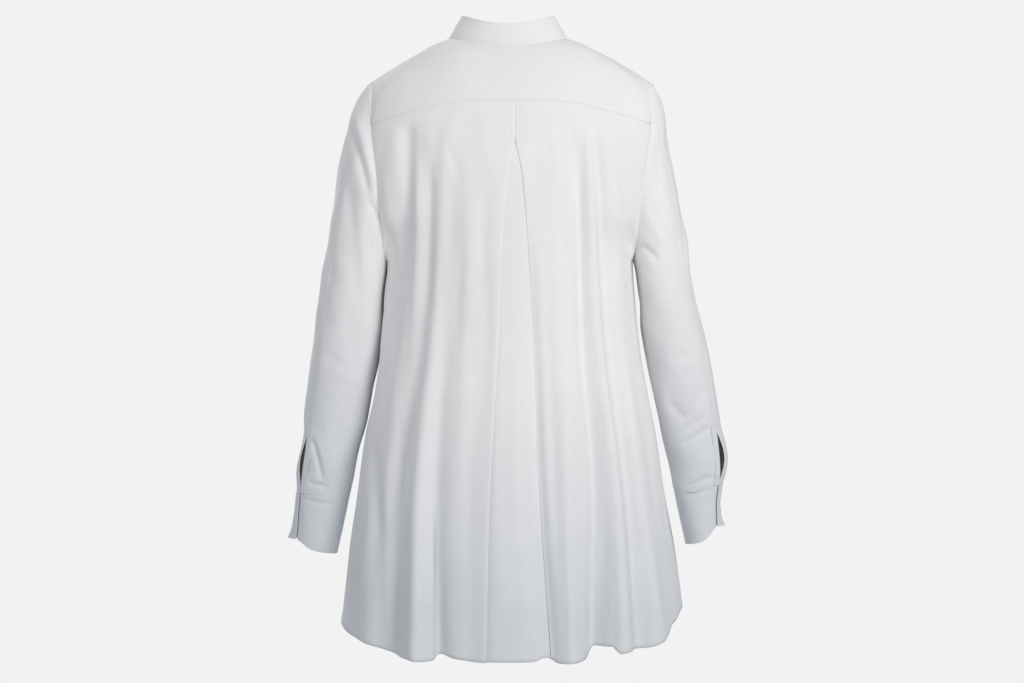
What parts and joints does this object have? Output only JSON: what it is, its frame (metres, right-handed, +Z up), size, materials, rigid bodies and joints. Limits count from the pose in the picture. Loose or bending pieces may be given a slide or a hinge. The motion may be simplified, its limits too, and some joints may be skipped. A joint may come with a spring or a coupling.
{
  "type": "overshirt",
  "caption": "A-line stand-collar overshirt with a back yoke, centre-back box pleat, long sleeves with open slits, deep cuffs and a curved shirt-tail hem.",
  "frame": {"origin": "middle of the neck opening, level with the two points where the shoulders meet the collar", "axes": "+Z up, -Y out of the front, +X towards the wearer's left side"},
  "size_m": [0.6052, 0.3474, 0.8536],
  "materials": {
    "cotton": "thin white plain-weave cotton",
    "button": "white polyester shirt button"
  },
  "bodies": {
    "root": {"yoke": "cotton", "back": "cotton", "front_left": "cotton", "front_right": "cotton", "front_band": "cotton", "collar": "cotton", "sleeve_left": "cotton", "sleeve_right": "cotton", "slit_band_left": "cotton", "slit_band_right": "cotton", "cuff_left": "cotton", "cuff_right": "cotton", "button_1": "button", "button_2": "button", "button_3": "button", "button_4": "button", "button_5": "button", "button_6": "button", "button_7": "button", "button_collar": "button", "button_cuff_left": "button", "button_cuff_right": "button"}
  },
  "joints": []
}
